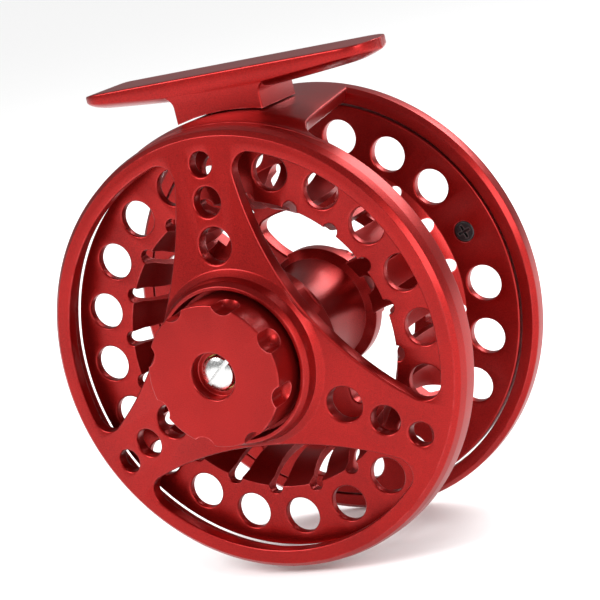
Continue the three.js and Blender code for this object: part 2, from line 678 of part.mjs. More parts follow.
piece('click_pawl', aroundAxis(pawlBody(), pawlAngle), steel(), pawlPlace);
piece('pawl_pin', turned([
  [0, webFront - pawlPinSeat + 0.1], [pawlPinRadius, webFront - pawlPinSeat + 0.1],
  [pawlPinRadius, pawlBack + pawlThickness + 0.2], [1.3, pawlBack + pawlThickness + 0.2],
  [1.3, pawlBack + pawlThickness + 0.6], [0, pawlBack + pawlThickness + 0.6],
], 16), steel(), pawlPlace);
const springBack = cupBore - 0.2;
const springSpan = radians(32);
piece('click_spring', plate(new THREE.Shape([
  ...arc(0, springBack, radians(pawlAngle) - springSpan, radians(pawlAngle) + springSpan, 12),
  ...arc(0, springBack - 0.22, radians(pawlAngle) + springSpan, radians(pawlAngle) - springSpan, 12),
]), pawlBack, pawlBack + pawlThickness), steel());

// ---------------------------------------------------------------- bearings

const racePitch = (noseRadius + bearingOuter) / 2;
for (const [name, back] of [['rear_bearing', rearBearingBack], ['front_bearing', frontBearingBack]]) {
  piece(name + '_inner_race', ring(noseRadius + 0.15, racePitch - 0.5, back, back + bearingWidth, 28), steel());
  piece(name + '_outer_race', ring(racePitch + 0.3, bearingOuter, back, back + bearingWidth, 28), steel());
}
piece('bearing_spacer', ring(noseRadius + 0.15, racePitch - 0.8, rearBearingBack + bearingWidth + 0.2,
  frontBearingBack - 0.2, 28), redAnodised());

// ---------------------------------------------------------------- spool cap

const capBack = spoolHubFront + 0.4;
function capBody() {
  let body = turned([
    [noseRadius + 0.15, frontBearingBack + bearingWidth + seatGap],
    [racePitch - 0.8, frontBearingBack + bearingWidth + seatGap], [racePitch - 0.8, capBack],
    [capRadius, capBack], [capRadius, capBack + capLength - 0.9], [capRadius - 0.9, capBack + capLength],
    [0, capBack + capLength], [0, spindleFront + 0.3], [noseRadius + 0.15, spindleFront + 0.3],
  ], 36);
  const grip = 1.3;
  for (let i = 0; i < 12; i += 1) {
    body = body.subtract(pinAt(capRadius + grip - 0.5, i * 30, grip, capBack - 1, capBack + capLength + 1, 12));
  }
  return body;
}
piece('spool_cap', capBody(), redAnodised());

export default reel;
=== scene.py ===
# A large-arbor fly reel in satin red anodised aluminium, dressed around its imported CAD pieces.
import json
import math

import bmesh
import bpy
from mathutils import Matrix, Vector


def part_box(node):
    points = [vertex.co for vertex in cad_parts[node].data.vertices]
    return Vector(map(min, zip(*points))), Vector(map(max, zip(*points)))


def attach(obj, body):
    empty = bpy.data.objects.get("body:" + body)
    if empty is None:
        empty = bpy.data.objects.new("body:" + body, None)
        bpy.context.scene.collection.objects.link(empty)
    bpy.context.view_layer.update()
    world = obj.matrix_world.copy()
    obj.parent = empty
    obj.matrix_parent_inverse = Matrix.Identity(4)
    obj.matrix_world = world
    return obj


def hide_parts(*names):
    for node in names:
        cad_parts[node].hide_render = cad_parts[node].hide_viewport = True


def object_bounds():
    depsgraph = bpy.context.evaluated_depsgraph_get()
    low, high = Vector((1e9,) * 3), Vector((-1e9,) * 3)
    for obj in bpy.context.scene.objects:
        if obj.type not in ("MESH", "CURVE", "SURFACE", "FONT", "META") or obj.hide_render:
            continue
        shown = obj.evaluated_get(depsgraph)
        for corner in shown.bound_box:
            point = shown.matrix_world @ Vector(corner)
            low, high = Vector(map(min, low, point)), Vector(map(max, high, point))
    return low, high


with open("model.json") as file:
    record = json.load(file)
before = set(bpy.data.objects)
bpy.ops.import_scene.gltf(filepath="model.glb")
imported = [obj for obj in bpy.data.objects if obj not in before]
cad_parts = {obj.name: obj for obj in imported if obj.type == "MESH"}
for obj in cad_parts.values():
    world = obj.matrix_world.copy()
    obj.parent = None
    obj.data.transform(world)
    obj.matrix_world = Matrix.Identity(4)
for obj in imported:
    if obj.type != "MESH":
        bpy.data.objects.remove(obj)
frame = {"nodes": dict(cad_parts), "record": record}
cad_low, cad_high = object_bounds()

# ---------------------------------------------------------------- camera
# A long lens, a little above the reel and to the right of its back, so that the drag knob faces it.
LENS = 136.3
CAMERA_AT = Vector((0.21749, -0.37204, 0.03623))
CAMERA_RIGHT = Vector((0.8642, 0.4475, -0.2302))
CAMERA_UP = Vector((0.1107, 0.2771, 0.9544))
camera_data = bpy.data.cameras.new("camera")
camera_data.lens = LENS
camera_data.sensor_width = 36
camera_data.clip_start = 0.01
camera = bpy.data.objects.new("camera", camera_data)
camera_axes = Matrix((CAMERA_RIGHT, CAMERA_UP, CAMERA_RIGHT.cross(CAMERA_UP))).transposed()
camera.matrix_world = Matrix.Translation(CAMERA_AT) @ camera_axes.to_4x4()
bpy.context.scene.collection.objects.link(camera)
bpy.context.scene.camera = camera

# ---------------------------------------------------------------- frame
# The cage frame is turned and milled from one aluminium bar: a back plate with three dished arms
# round a boss, a back ring, a bridge over the top and a front ring. All its edges are broken by a
# small radius, and it is bead blasted and dyed red.
MM = 0.001
FRAME_RADIUS = 44
FRAME_DEPTH = 39
frame_low, frame_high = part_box("frame")
# The reel axis at the back ring's rear face: sizes below are millimetres from here
AXIS = Vector((
    (frame_low.x + frame_high.x) / 2, frame_high.y - FRAME_DEPTH * MM, (frame_low.z + frame_high.z) / 2,
))


def rounded(corners):
    """A profile from (radius, y, fillet) corners, with an arc of that fillet at each corner."""
    steps = 5
    profile = []
    for index, (radius, y, fillet) in enumerate(corners):
        if not fillet:
            profile.append((radius, y))
            continue
        corner = Vector((radius, y))
        before = Vector(corners[index - 1][:2]) - corner
        after = Vector(corners[(index + 1) % len(corners)][:2]) - corner
        half = before.angle(after) / 2
        reach = fillet / math.tan(half)
        start = corner + before.normalized() * reach
        end = corner + after.normalized() * reach
        for step in range(steps + 1):
            t = step / steps
            point = start * (1 - t) ** 2 + corner * 2 * t * (1 - t) + end * t ** 2
            profile.append((point.x, point.y))
    return profile


def grid_faces(columns, rows, closed_columns=True):
    """Faces of a grid whose points run row by row inside each column."""
    faces = []
    for i in range(columns if closed_columns else columns - 1):
        for j in range(rows):
            a = i * rows + j
            b = i * rows + (j + 1) % rows
            c = ((i + 1) % columns) * rows + (j + 1) % rows
            d = ((i + 1) % columns) * rows + j
            faces.append((a, b, c, d))
    return faces


def shell(points, faces):
    """A closed mesh in millimetres round the reel axis, with merged points and outward faces."""
    mesh = bpy.data.meshes.new("shell")
    mesh.from_pydata(points, [], faces)
    work = bmesh.new()
    work.from_mesh(mesh)
    bmesh.ops.remove_doubles(work, verts=work.verts, dist=1e-5)
    bmesh.ops.dissolve_degenerate(work, edges=work.edges, dist=1e-5)
    bmesh.ops.recalc_face_normals(work, faces=work.faces)
    work.to_mesh(mesh)
    work.free()
    return mesh


def turned(profile, segments=240):
    """A solid turned about the reel axis from (radius, y) points that close on themselves."""
    points = []
    for i in range(segments):
        angle = 2 * math.pi * i / segments
        points += [(r * math.cos(angle), y, r * math.sin(angle)) for r, y in profile]
    return shell(points, grid_faces(segments, len(profile)))


def lofted(loops):
    """A solid through loops of points, closed by a flat face at each end."""
    rows = len(loops[0])
    points = [point for loop in loops for point in loop]
    faces = grid_faces(len(loops), rows, closed_columns=False)
    last = (len(loops) - 1) * rows
    faces += [tuple(range(rows)), tuple(range(last + rows - 1, last - 1, -1))]
    return shell(points, faces)


def combined(base, operation, *others):
    """The base mesh joined to, or cut by, the other meshes."""
    holder = bpy.data.objects.new("base", base)
    bpy.context.scene.collection.objects.link(holder)
    tools = []
    for mesh in others:
        tool = bpy.data.objects.new("tool", mesh)
        bpy.context.scene.collection.objects.link(tool)
        modifier = holder.modifiers.new("cut", "BOOLEAN")
        modifier.operation = operation
        modifier.solver = "MANIFOLD"
        modifier.object = tool
        tools.append(tool)
    evaluated = holder.evaluated_get(bpy.context.evaluated_depsgraph_get())
    result = bpy.data.meshes.new_from_object(evaluated)
    for item in [holder, *tools]:
        bpy.data.objects.remove(item)
    return result


# Copies of a mesh round the reel axis, by Geometry Nodes
ring_tree = bpy.data.node_groups.new("copies_around_axis", "GeometryNodeTree")
ring_inputs = {}
for socket_name, socket_type in [
    ("Geometry", "NodeSocketGeometry"), ("Copies", "NodeSocketInt"),
    ("First angle", "NodeSocketFloat"), ("Step", "NodeSocketFloat"), ("Material", "NodeSocketMaterial"),
]:
    socket = ring_tree.interface.new_socket(socket_name, in_out="INPUT", socket_type=socket_type)
    ring_inputs[socket_name] = socket.identifier
ring_tree.interface.new_socket("Geometry", in_out="OUTPUT", socket_type="NodeSocketGeometry")
ring_in = ring_tree.nodes.new("NodeGroupInput")
ring_out = ring_tree.nodes.new("NodeGroupOutput")
ring_points = ring_tree.nodes.new("GeometryNodePoints")
ring_index = ring_tree.nodes.new("GeometryNodeInputIndex")
ring_angle = ring_tree.nodes.new("ShaderNodeMath")
ring_angle.operation = "MULTIPLY_ADD"
ring_turn = ring_tree.nodes.new("ShaderNodeCombineXYZ")
ring_copies = ring_tree.nodes.new("GeometryNodeInstanceOnPoints")
ring_real = ring_tree.nodes.new("GeometryNodeRealizeInstances")
ring_material = ring_tree.nodes.new("GeometryNodeSetMaterial")
for source, target in [
    (ring_in.outputs["Copies"], ring_points.inputs["Count"]),
    (ring_index.outputs["Index"], ring_angle.inputs[0]),
    (ring_in.outputs["Step"], ring_angle.inputs[1]),
    (ring_in.outputs["First angle"], ring_angle.inputs[2]),
    (ring_angle.outputs["Value"], ring_turn.inputs["Y"]),
    (ring_points.outputs["Points"], ring_copies.inputs["Points"]),
    (ring_in.outputs["Geometry"], ring_copies.inputs["Instance"]),
    (ring_turn.outputs["Vector"], ring_copies.inputs["Rotation"]),
    (ring_copies.outputs["Instances"], ring_real.inputs["Geometry"]),
    (ring_real.outputs["Geometry"], ring_material.inputs["Geometry"]),
    (ring_in.outputs["Material"], ring_material.inputs["Material"]),
    (ring_material.outputs["Geometry"], ring_out.inputs["Geometry"]),
]:
    ring_tree.links.new(source, target)


def copies(mesh, count, first, step):
    """That many copies of a mesh, from the first angle on, each a step further from +X towards +Z."""
    holder = bpy.data.objects.new("copies", mesh)
    bpy.context.scene.collection.objects.link(holder)
    modifier = holder.modifiers.new("ring", "NODES")
    modifier.node_group = ring_tree
    modifier[ring_inputs["Copies"]] = count
    modifier[ring_inputs["First angle"]] = -math.radians(first)
    modifier[ring_inputs["Step"]] = -math.radians(step)
    evaluated = holder.evaluated_get(bpy.context.evaluated_depsgraph_get())
    result = bpy.data.meshes.new_from_object(evaluated)
    bpy.data.objects.remove(holder)
    return result


def arc_points(centre, radius, start, end, steps):
    """Points of an arc in the plane across the reel axis."""
    return [
        (centre[0] + radius * math.cos(start + (end - start) * i / steps),
         centre[1] + radius * math.sin(start + (end - start) * i / steps))
        for i in range(steps + 1)
    ]


def window_outline(rim, inset, side_radius, corner, grow):
    """A window between two arms, made larger all round by grow: inside the rim circle and inside
    the large circle of the arms' concave side, with rounded corners. It faces +X."""
    centre = inset + side_radius
    rim_inner = rim - corner
    side_inner = side_radius - corner
    u = (rim_inner ** 2 - side_inner ** 2 + centre ** 2) / (2 * centre)
    v = math.sqrt(rim_inner ** 2 - u ** 2)
    rim_angle = math.atan2(v, u)
    side_angle = math.atan2(v, u - centre)
    turn = 2 * math.pi
    return (
        arc_points((0, 0), rim + grow, -rim_angle, rim_angle, 48)
        + arc_points((u, v), corner + grow, rim_angle, side_angle, 12)[1:]
        + arc_points((centre, 0), side_radius + grow, side_angle, turn - side_angle, 40)[1:]
        + arc_points((u, -v), corner + grow, turn - side_angle, turn - rim_angle, 12)[1:-1]
    )


def flared(outline, back, front, edge):
    """A cutter along Y whose ends flare, so that the opening it cuts has rounded edges.
    outline(grow) gives its points grown all round; back(r) and front(r) are the faces it goes through."""
    beyond = 0.5
    steps = 5
    radii = [math.hypot(u, v) for u, v in outline(edge)]
    lowest = min(back(radius) for radius in radii)
    highest = max(front(radius) for radius in radii)
    turns = [math.pi / 2 * step / steps for step in range(steps + 1)]
    stations = [(edge, lambda radius: lowest, -beyond)]
    stations += [(edge * (1 - math.sin(turn)), back, edge * (1 - math.cos(turn))) for turn in turns]
    stations += [(edge * (1 - math.cos(turn)), front, edge * (math.sin(turn) - 1)) for turn in turns]
    stations += [(edge, lambda radius: highest, beyond)]
    return lofted([
        [(u, face(math.hypot(u, v)) + shift, v) for u, v in outline(grow)]
        for grow, face, shift in stations
    ])


def round_hole(at, radius, back, front, edge):
    """A flared cutter for a round hole that stands at a radius on the +X side."""
    return flared(
        lambda grow: arc_points((at, 0), radius + grow, 0, 2 * math.pi, 48)[:-1], back, front, edge
    )


def finished(name, mesh, body, material, nodes):
    """A mesh made into a piece of the reel: in place, shaded, riding on its body."""
    mesh.transform(Matrix.Translation(AXIS) @ Matrix.Scale(MM, 4))
    mesh.materials.clear()
    mesh.materials.append(material)
    mesh.polygons.foreach_set("use_smooth", [True] * len(mesh.polygons))
    mesh.set_sharp_from_angle(angle=math.radians(32))
    mesh.name = name
    made = bpy.data.objects.new(name, mesh)
    bpy.context.scene.collection.objects.link(made)
    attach(made, body)
    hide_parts(*nodes)
    return made


# Shader groups shared by the finishes: fine blasted grain with slow colour drift, and worn edges
grain_group = bpy.data.node_groups.new("blasted_grain", "ShaderNodeTree")
for socket_name in ("Grain scale", "Drift scale"):
    grain_group.interface.new_socket(socket_name, in_out="INPUT", socket_type="NodeSocketFloat")
for socket_name in ("Grain", "Drift"):
    grain_group.interface.new_socket(socket_name, in_out="OUTPUT", socket_type="NodeSocketFloat")
grain_in = grain_group.nodes.new("NodeGroupInput")
grain_out = grain_group.nodes.new("NodeGroupOutput")
grain_place = grain_group.nodes.new("ShaderNodeTexCoord")
for socket_name, detail in (("Grain", 2.0), ("Drift", 3.0)):
    noise = grain_group.nodes.new("ShaderNodeTexNoise")
    noise.inputs["Detail"].default_value = detail
    grain_group.links.new(grain_place.outputs["Object"], noise.inputs["Vector"])
    grain_group.links.new(grain_in.outputs[socket_name + " scale"], noise.inputs["Scale"])
    grain_group.links.new(noise.outputs["Fac"], grain_out.inputs[socket_name])

edge_group = bpy.data.node_groups.new("worn_edges", "ShaderNodeTree")
edge_group.interface.new_socket("Width", in_out="INPUT", socket_type="NodeSocketFloat")
edge_group.interface.new_socket("Patch scale", in_out="INPUT", socket_type="NodeSocketFloat")
edge_group.interface.new_socket("Edge", in_out="OUTPUT", socket_type="NodeSocketFloat")
edge_in = edge_group.nodes.new("NodeGroupInput")
edge_out = edge_group.nodes.new("NodeGroupOutput")
edge_bevel = edge_group.nodes.new("ShaderNodeBevel")
edge_bevel.samples = 4
edge_face = edge_group.nodes.new("ShaderNodeNewGeometry")
edge_dot = edge_group.nodes.new("ShaderNodeVectorMath")
edge_dot.operation = "DOT_PRODUCT"
edge_range = edge_group.nodes.new("ShaderNodeMapRange")
edge_range.inputs["From Min"].default_value = 0.995
edge_range.inputs["From Max"].default_value = 0.85
edge_place = edge_group.nodes.new("ShaderNodeTexCoord")
edge_noise = edge_group.nodes.new("ShaderNodeTexNoise")
edge_patch = edge_group.nodes.new("ShaderNodeMapRange")
edge_patch.inputs["From Min"].default_value = 0.35
edge_patch.inputs["From Max"].default_value = 0.65
edge_times = edge_group.nodes.new("ShaderNodeMath")
edge_times.operation = "MULTIPLY"
for source, target in [
    (edge_in.outputs["Width"], edge_bevel.inputs["Radius"]),
    (edge_bevel.outputs["Normal"], edge_dot.inputs[0]),
    (edge_face.outputs["Normal"], edge_dot.inputs[1]),
    (edge_dot.outputs["Value"], edge_range.inputs["Value"]),
    (edge_place.outputs["Object"], edge_noise.inputs["Vector"]),
    (edge_in.outputs["Patch scale"], edge_noise.inputs["Scale"]),
    (edge_noise.outputs["Fac"], edge_patch.inputs["Value"]),
    (edge_range.outputs["Result"], edge_times.inputs[0]),
    (edge_patch.outputs["Result"], edge_times.inputs[1]),
    (edge_times.outputs["Value"], edge_out.inputs["Edge"]),
]:
    edge_group.links.new(source, target)


def finish_of(name, dark, light, worn, metallic, roughness, grain_scale, grain_depth, edge_width=0.0004,
              coat=0.0, drift_scale=60.0):
    """A finish: colour drifts from dark to light, edges show the worn colour, and the grain is
    both in the roughness, between two values, and in the bump, with a depth in metres."""
    material = bpy.data.materials.new(name)
    material.use_nodes = True
    nodes, links = material.node_tree.nodes, material.node_tree.links
    shader = nodes["Principled BSDF"]
    shader.inputs["Metallic"].default_value = metallic
    shader.inputs["Coat Weight"].default_value = coat
    shader.inputs["Coat Roughness"].default_value = 0.22
    grain = nodes.new("ShaderNodeGroup")
    grain.node_tree = grain_group
    grain.inputs["Grain scale"].default_value = grain_scale
    grain.inputs["Drift scale"].default_value = drift_scale
    edges = nodes.new("ShaderNodeGroup")
    edges.node_tree = edge_group
    edges.inputs["Width"].default_value = edge_width
    edges.inputs["Patch scale"].default_value = 350
    drifting = nodes.new("ShaderNodeMix")
    drifting.data_type = "RGBA"
    drifting.inputs["A"].default_value = (*dark, 1)
    drifting.inputs["B"].default_value = (*light, 1)
    sparkle = nodes.new("ShaderNodeMapRange")
    sparkle.inputs["From Min"].default_value = 0.3
    sparkle.inputs["From Max"].default_value = 0.7
    mixing = nodes.new("ShaderNodeMath")
    mixing.operation = "MULTIPLY_ADD"
    mixing.inputs[1].default_value = 0.45
    wearing = nodes.new("ShaderNodeMix")
    wearing.data_type = "RGBA"
    wearing.inputs["B"].default_value = (*worn, 1)
    rough = nodes.new("ShaderNodeMapRange")
    rough.inputs["To Min"].default_value = roughness[0]
    rough.inputs["To Max"].default_value = roughness[1]
    bump = nodes.new("ShaderNodeBump")
    bump.inputs["Distance"].default_value = grain_depth
    half_drift = nodes.new("ShaderNodeMath")
    half_drift.operation = "MULTIPLY"
    half_drift.inputs[1].default_value = 0.55
    for source, target in [
        (grain.outputs["Drift"], half_drift.inputs[0]),
        (grain.outputs["Grain"], sparkle.inputs["Value"]),
        (sparkle.outputs["Result"], mixing.inputs[0]),
        (half_drift.outputs["Value"], mixing.inputs[2]),
        (mixing.outputs["Value"], drifting.inputs["Factor"]),
        (drifting.outputs["Result"], wearing.inputs["A"]),
        (edges.outputs["Edge"], wearing.inputs["Factor"]),
        (wearing.outputs["Result"], shader.inputs["Base Color"]),
        (grain.outputs["Grain"], rough.inputs["Value"]),
        (rough.outputs["Result"], shader.inputs["Roughness"]),
        (grain.outputs["Grain"], bump.inputs["Height"]),
        (bump.outputs["Normal"], shader.inputs["Normal"]),
    ]:
        links.new(source, target)
    return material


red_anodised = finish_of(
    "red_anodised", dark=(0.12, 0.002, 0.002), light=(0.46, 0.011, 0.009), worn=(0.75, 0.12, 0.12), metallic=0.88,
    roughness=(0.3, 0.46), grain_scale=5200, grain_depth=0.000012, coat=0.15,
)

WINDOW_RADIUS = 39
WINDOW_INSET = 17.2
WINDOW_SIDE = 68
WINDOW_CORNER = 3.4
LIP = 2.6
RING_DEPTH = 5.7
HUB_OFFSET = 4.9
DISH_SLOPE = 0.12
CUP_RADIUS = 17
ARM_THICKNESS = 3.2
ARM_ANGLES = (90, 210, 330)
ARM_HOLES = ((21.7, 3.4), (29.8, 2.8), (36.8, 2.3))
RIM_CLEAR = 40.4
RING_BORE = 40.9
FRONT_RING_BACK = FRAME_DEPTH - 3.8
BRIDGE_INNER = 41.3


def dish_back(radius):
    """The rear face of the arms, which falls from the boss to the ring."""
    return min(0, -HUB_OFFSET + DISH_SLOPE * radius)


def dish_front(radius):
    """The front face of the arms."""
    start = -HUB_OFFSET + DISH_SLOPE * CUP_RADIUS + ARM_THICKNESS
    share = (radius - CUP_RADIUS) / (WINDOW_RADIUS - CUP_RADIUS)
    return min(LIP, start + (LIP - start) * share)


back_plate = turned(rounded([
    (3.1, -3.2, 0.15), (14.4, -3.2, 0.3), (14.4, -7, 0.2), (15.1, -7, 0.3), (15.75, -5.9, 0.6),
    (16.1, -3.9, 0.35), (17.3, dish_back(17.3), 0.6), (40.6, 0, 0), (41.7, 0, 0.25), (42.6, 0.9, 0.5),
    (43.05, 2.6, 1), (43.3, RING_DEPTH, 0.3), (RIM_CLEAR, RING_DEPTH, 0.3), (RIM_CLEAR, LIP, 0.2),
    (WINDOW_RADIUS, LIP, 0), (CUP_RADIUS, dish_front(CUP_RADIUS), 0), (CUP_RADIUS, 4.2, 0.3), (15.4, 4.2, 0.3),
    (15.4, 0, 0.3), (3.1, 0, 0.15),
]), 288)
window = flared(
    lambda grow: window_outline(WINDOW_RADIUS, WINDOW_INSET, WINDOW_SIDE, WINDOW_CORNER, grow),
    dish_back, dish_front, 0.45,
)
cutters = [copies(window, 3, ARM_ANGLES[0] - 60, 120)]
for place, size in ARM_HOLES:
    cutters.append(copies(round_hole(place, size, dish_back, dish_front, 0.5), 3, ARM_ANGLES[0], 120))
back_plate = combined(back_plate, "DIFFERENCE", *cutters)

front_ring = turned(rounded([
    (RING_BORE, FRONT_RING_BACK, 0.3), (43.1, FRONT_RING_BACK, 0.3), (FRAME_RADIUS, FRONT_RING_BACK + 0.9, 0.3),
    (FRAME_RADIUS, FRAME_DEPTH, 0.6), (RING_BORE, FRAME_DEPTH, 0.3),
]), 288)


def bridge_loop(y):
    """The bridge's cross-section at a place along the axis."""
    step_up = min(1, max(0, (y - RING_DEPTH) / 4.3))
    outer = 43.25 + (FRAME_RADIUS - 43.25) * step_up * step_up * (3 - 2 * step_up)
    along = (y - RING_DEPTH) / (FRONT_RING_BACK - RING_DEPTH)
    half = 18.8 + (14.4 - 18.8) * along + 3.2 * math.exp(-(y - RING_DEPTH) / 1.6)
    reach = math.asin(half / FRAME_RADIUS)
    fillet = 0.5
    turns = [math.pi / 2 * step / 4 for step in range(5)]
    side = [
        (outer - fillet * (1 - math.cos(turn)), reach - fillet / outer * (1 - math.sin(turn))) for turn in turns
    ]
    low_side = [
        (BRIDGE_INNER + fillet * (1 - math.cos(turn)), reach - fillet / outer * (1 - math.sin(turn)))
        for turn in reversed(turns)
    ]
    steps = 40
    right = side + low_side
    top = [(outer, -reach + 2 * reach * step / steps) for step in range(2, steps - 1)]
    bottom = [(BRIDGE_INNER, reach - 2 * reach * step / steps) for step in range(2, steps - 1)]
    left = [(radius, -angle) for radius, angle in reversed(right)]
    return [(r * math.sin(a), y, r * math.cos(a)) for r, a in top + right + bottom + left]


bridge_places = [4.4 + (FRONT_RING_BACK + 1.2 - 4.4) * step / 40 for step in range(41)]
bridge = lofted([bridge_loop(y) for y in bridge_places])
frame_body = combined(back_plate, "UNION", bridge, front_ring)

FOOT_Y = 19


def foot_screw_hole(x):
    """A cutter for a countersunk screw hole from inside the bridge."""
    profile = [(2.55, 39), (2.55, 41.7), (1.5, 42.7), (1.5, 46)]
    angles = [2 * math.pi * step / 36 for step in range(36)]
    return lofted([[(x + r * math.cos(a), FOOT_Y + r * math.sin(a), z) for a in angles] for r, z in profile])


frame_body = combined(frame_body, "DIFFERENCE", foot_screw_hole(-5), foot_screw_hole(5))
finished("frame_casting", frame_body, "frame", red_anodised, ["frame"])

# ---------------------------------------------------------------- reel foot
# The foot is milled from its own bar of the same aluminium. Its blades slip under the hoods of the
# rod seat, its stem stands on the bridge, and two screws from inside the bridge hold it.
FOOT_TOP = 51.7
FOOT_HALF = 32
FOOT_HALF_WIDTH = 7
STEM_HALF = 9.5


def foot_section(x):
    """The foot's cross-section at a place along it: a flat top and a bellied underside."""
    reach = abs(x)
    end = max(0.0, (reach - (FOOT_HALF - 6)) / 6)
    width = FOOT_HALF_WIDTH * math.sqrt(max(0.004, 1 - min(1, end) ** 2.4))
    along = max(0.0, (reach - STEM_HALF) / (FOOT_HALF - STEM_HALF))
    edge = 3.2 - 1.8 * along
    keel = 4.9 - (1.6 if x < 0 else 1.9) * along ** 1.2
    droop = 0.8 * max(0.0, (-x - 27) / 5) ** 2
    keel -= 0.9 * end ** 2
    top = FOOT_TOP - droop
    fillet = min(0.35, width / 3)
    turns = [math.pi / 2 * step / 4 for step in range(5)]
    section = [(width - fillet * (1 - math.cos(turn)), top - fillet * (1 - math.sin(turn))) for turn in turns]
    right = [(v, z) for v, z in reversed(section)]
    low = [
        (width * math.cos(math.pi * step / 24), FOOT_TOP - edge - (keel - edge) * math.sin(math.pi * step / 24) ** 1.3)
        for step in range(25)
    ]
    left = [(-v, z) for v, z in section]
    tops = [(-width + fillet + 2 * (width - fillet) * step / 6, top) for step in range(1, 6)]
    return [(x, FOOT_Y + v, z) for v, z in right + low + left + tops]


foot_places = [FOOT_HALF * math.sin(math.pi / 2 * step / 60) for step in range(-60, 61)]
foot_blade = lofted([foot_section(x) for x in foot_places])


def stem_loop(z):
    """The stem's outline at a height: a block with rounded upright edges that widens at its top."""
    widen = 1.4 * max(0.0, (z - 46.4) / 2) ** 2
    half = STEM_HALF + widen
    depth = FOOT_HALF_WIDTH - 0.02
    corner = 0.5
    outline = []
    for sx, sy, first in ((1, 1, 0), (-1, 1, 90), (-1, -1, 180), (1, -1, 270)):
        centre = (sx * (half - corner), sy * (depth - corner))
        start = math.radians(first)
        outline += arc_points(centre, corner, start, start + math.pi / 2, 4)
    return [(x - 1, FOOT_Y + y, z) for x, y in outline]


stem = lofted([stem_loop(z) for z in (42, 44.5, 46.4, 47, 47.5, 48, 48.5)])
ring_seat = turned([(30, FOOT_Y - 12), (FRAME_RADIUS + 0.3, FOOT_Y - 12), (FRAME_RADIUS + 0.3, FOOT_Y + 12),
                    (30, FOOT_Y + 12)], 288)
stem = combined(stem, "DIFFERENCE", ring_seat)
foot_body = combined(foot_blade, "UNION", stem)
finished("reel_foot_milled", foot_body, "frame", red_anodised, ["reel_foot"])

# ---------------------------------------------------------------- spool
# The spool is turned from one bar: two drilled flanges and a waisted arbor, slotted all round to
# save weight and let the line dry, tied to the hub by three arms at the front.
SPOOL_BACK = 5.4
BACK_FLANGE = 1.8
SPOOL_FRONT = 37
FRONT_FLANGE = 2.1
DRUM_END = 29.6
DRUM_MIDDLE = 25.5
DRUM_WALL = 1.5
BACK_RIM = 40.05
FRONT_RIM = 40.55
HOLE_CIRCLE = 34.05
HOLE_RADIUS = 3.5
HOLES = 20
WEIGHT_ANGLE = 18
HANDLE_ANGLE = WEIGHT_ANGLE + 180
PITCH = 360 / HOLES
low_face = SPOOL_BACK + BACK_FLANGE
high_face = SPOOL_FRONT - FRONT_FLANGE
drum_mid = (low_face + high_face) / 2
drum_half = (high_face - low_face) / 2


def drum_radius(y):
    """The arbor's radius: waisted in the middle, full at the flanges."""
    return DRUM_MIDDLE + (DRUM_END - DRUM_MIDDLE) * min(1, abs((y - drum_mid) / drum_half)) ** 3


drum_places = [low_face + (high_face - low_face) * step / 28 for step in range(1, 28)]
drum = turned(rounded([
    (DRUM_END - DRUM_WALL, SPOOL_BACK, 0.2), (BACK_RIM, SPOOL_BACK, 0.4), (BACK_RIM, low_face, 0.4),
    (DRUM_END, low_face, 0.4), *[(drum_radius(y), y, 0) for y in drum_places], (DRUM_END, high_face, 0.4),
    (FRONT_RIM, high_face, 0.4), (FRONT_RIM, SPOOL_FRONT + 1.6, 0.5), (FRONT_RIM - 1.2, SPOOL_FRONT + 1.6, 0.3),
    (FRONT_RIM - 1.8, SPOOL_FRONT, 0.3),
    (DRUM_END - DRUM_WALL, SPOOL_FRONT, 0.2),
    *[(drum_radius(y) - DRUM_WALL, y, 0) for y in reversed(drum_places)],
]), 240)

WEB_BACK = 30
WEB_THICKNESS = 3.4
WEB_RING = 20.6
web_front = WEB_BACK + WEB_THICKNESS
web = turned([(8.5, WEB_BACK), (drum_radius(WEB_BACK) - DRUM_WALL + 0.5, WEB_BACK),
              (drum_radius(web_front) - DRUM_WALL + 0.5, web_front), (8.5, web_front)], 240)
web_opening = flared(
    lambda grow: window_outline(WEB_RING, 9, 16, 2, grow), lambda r: WEB_BACK, lambda r: web_front, 0.4,
)
web_cuts = [copies(web_opening, 3, WEIGHT_ANGLE + 60, 120)]
for place, size in ((12.2, 1.7), (17, 2)):
    hole = round_hole(place, size, lambda r: WEB_BACK, lambda r: web_front, 0.3)
    web_cuts.append(copies(hole, 3, WEIGHT_ANGLE, 120))
web = combined(web, "DIFFERENCE", *web_cuts)
hub = turned(rounded([
    (7.7, 3.4, 0.15), (9.2, 3.4, 0.3), (9.2, 20, 0), (9.3, 24, 0), (9.7, 27, 0), (10.6, 29.2, 0), (12.4, 30.4, 0.2),
    (12.4, web_front - 0.3, 0.2), (10, web_front + 0.2, 0), (8.4, web_front + 1.4, 0.3), (8.4, 36, 0.3), (6.6, 36, 0.2),
    (6.6, 14.4, 0.1), (5.6, 14.4, 0.1), (5.6, 12.2, 0.1), (7.7, 12.2, 0.1),
]), 120)
spool_body = combined(drum, "UNION", web, hub)

SLOT_WIDTH = 2.9
SLOT_INNER = 23.4


def slot_outline(grow):
    """An arbor slot seen along the axis: open towards the axis, with a round outer end."""
    half = SLOT_WIDTH / 2 + grow
    round_end = arc_points((DRUM_END - SLOT_WIDTH / 2, 0), half, -math.pi / 2, math.pi / 2, 12)
    return [(SLOT_INNER - 0.4, -half), *round_end, (SLOT_INNER - 0.4, half)]


